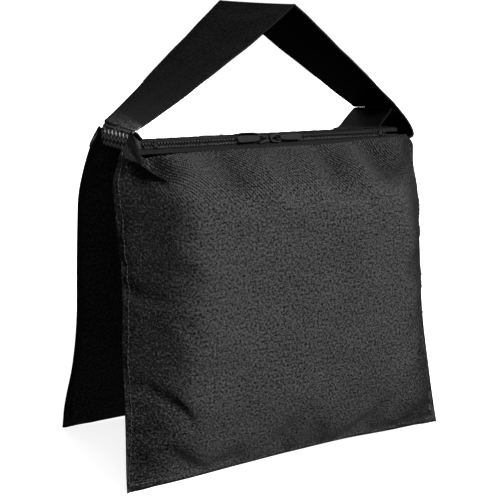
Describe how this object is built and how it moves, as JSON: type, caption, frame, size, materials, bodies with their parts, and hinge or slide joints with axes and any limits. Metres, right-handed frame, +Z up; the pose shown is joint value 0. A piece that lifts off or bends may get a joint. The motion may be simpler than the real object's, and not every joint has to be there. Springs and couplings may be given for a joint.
{
  "type": "saddle sandbag",
  "caption": "Saddle-style sandbag: two zipped, sand-filled fabric pouches joined by a bridge, with an arched webbing handle for carrying and hanging.",
  "frame": {"origin": "on the floor under the middle of the bridge, with the bag standing on its four bottom corners", "axes": "+X along the bridge and the zips, +Y from the front pouch to the back pouch, +Z up through the handle"},
  "size_m": [0.276, 0.175, 0.3444],
  "materials": {
    "woven_polyester": "matte",
    "webbing": "matte",
    "zip_tape": "matte",
    "zip_coil": "satin",
    "slider_metal": "satin",
    "thread": "matte",
    "liner_fabric": "matte",
    "sand": "matte"
  },
  "bodies": {
    "bridge": {"bridge_panel": "woven_polyester", "under_strap": "webbing", "strap_end_left": "webbing", "strap_end_right": "webbing", "bartack_left_upper": "thread", "bartack_left_lower": "thread", "bartack_right_upper": "thread", "bartack_right_lower": "thread", "handle_root_left": "webbing", "handle_root_right": "webbing"},
    "handle": {"handle_webbing": "webbing"},
    "front_pouch": {"front_outer_panel": "woven_polyester", "front_inner_upper_panel": "woven_polyester", "front_inner_lower_panel": "woven_polyester", "front_seam_binding": "woven_polyester", "front_liner_bag": "liner_fabric", "front_sand_fill": "sand", "front_zip_tape_inner": "zip_tape", "front_zip_tape_outer": "zip_tape", "front_zip_coil_inner": "zip_coil", "front_zip_coil_outer": "zip_coil", "front_zip_stop_left": "slider_metal", "front_zip_stop_right": "slider_metal"},
    "back_pouch": {"back_outer_panel": "woven_polyester", "back_inner_upper_panel": "woven_polyester", "back_inner_lower_panel": "woven_polyester", "back_seam_binding": "woven_polyester", "back_liner_bag": "liner_fabric", "back_sand_fill": "sand", "back_zip_tape_inner": "zip_tape", "back_zip_tape_outer": "zip_tape", "back_zip_coil_inner": "zip_coil", "back_zip_coil_outer": "zip_coil", "back_zip_stop_left": "slider_metal", "back_zip_stop_right": "slider_metal"},
    "front_slider_left": {"front_zip_slider_left": "slider_metal"},
    "front_slider_right": {"front_zip_slider_right": "slider_metal"},
    "front_pull_left": {"front_zip_pull_left": "slider_metal"},
    "front_pull_right": {"front_zip_pull_right": "slider_metal"},
    "back_slider_left": {"back_zip_slider_left": "slider_metal"},
    "back_slider_right": {"back_zip_slider_right": "slider_metal"},
    "back_pull_left": {"back_zip_pull_left": "slider_metal"},
    "back_pull_right": {"back_zip_pull_right": "slider_metal"}
  },
  "joints": [
    {"name": "front_pouch_swing", "type": "hinge", "parent": "bridge", "child": "front_pouch", "pos_m": [0, -0.0273, 0.25], "axis": [1, 0, 0], "range_deg": [-80, 13]},
    {"name": "back_pouch_swing", "type": "hinge", "parent": "bridge", "child": "back_pouch", "pos_m": [0, 0.0273, 0.25], "axis": [1, 0, 0], "range_deg": [-13, 80]},
    {"name": "handle_swing", "type": "hinge", "parent": "bridge", "child": "handle", "pos_m": [0, 0, 0.2585], "axis": [1, 0, 0], "range_deg": [-55, 55], "deforming": ["handle_root_left", "handle_root_right"]},
    {"name": "front_slider_left_slide", "type": "slide", "parent": "front_pouch", "child": "front_slider_left", "axis": [-1, 0, 0], "range_m": [0, 0.074]},
    {"name": "front_slider_right_slide", "type": "slide", "parent": "front_pouch", "child": "front_slider_right", "axis": [1, 0, 0], "range_m": [0, 0.084]},
    {"name": "front_pull_left_flip", "type": "hinge", "parent": "front_slider_left", "child": "front_pull_left", "pos_m": [-0.0105, -0.03531, 0.2453], "axis": [0, 0.4191, 0.908], "range_deg": [0, 160]},
    {"name": "front_pull_right_flip", "type": "hinge", "parent": "front_slider_right", "child": "front_pull_right", "pos_m": [0.0005, -0.03531, 0.2453], "axis": [0, -0.4191, -0.908], "range_deg": [0, 160]},
    {"name": "back_slider_left_slide", "type": "slide", "parent": "back_pouch", "child": "back_slider_left", "axis": [-1, 0, 0], "range_m": [0, 0.068]},
    {"name": "back_slider_right_slide", "type": "slide", "parent": "back_pouch", "child": "back_slider_right", "axis": [1, 0, 0], "range_m": [0, 0.078]},
    {"name": "back_pull_left_flip", "type": "hinge", "parent": "back_slider_left", "child": "back_pull_left", "pos_m": [-0.0105, 0.03531, 0.2398], "axis": [0, 0.4191, -0.908], "range_deg": [0, 160]},
    {"name": "back_pull_right_flip", "type": "hinge", "parent": "back_slider_right", "child": "back_pull_right", "pos_m": [0.0005, 0.03531, 0.2398], "axis": [0, -0.4191, 0.908], "range_deg": [0, 160]}
  ]
}
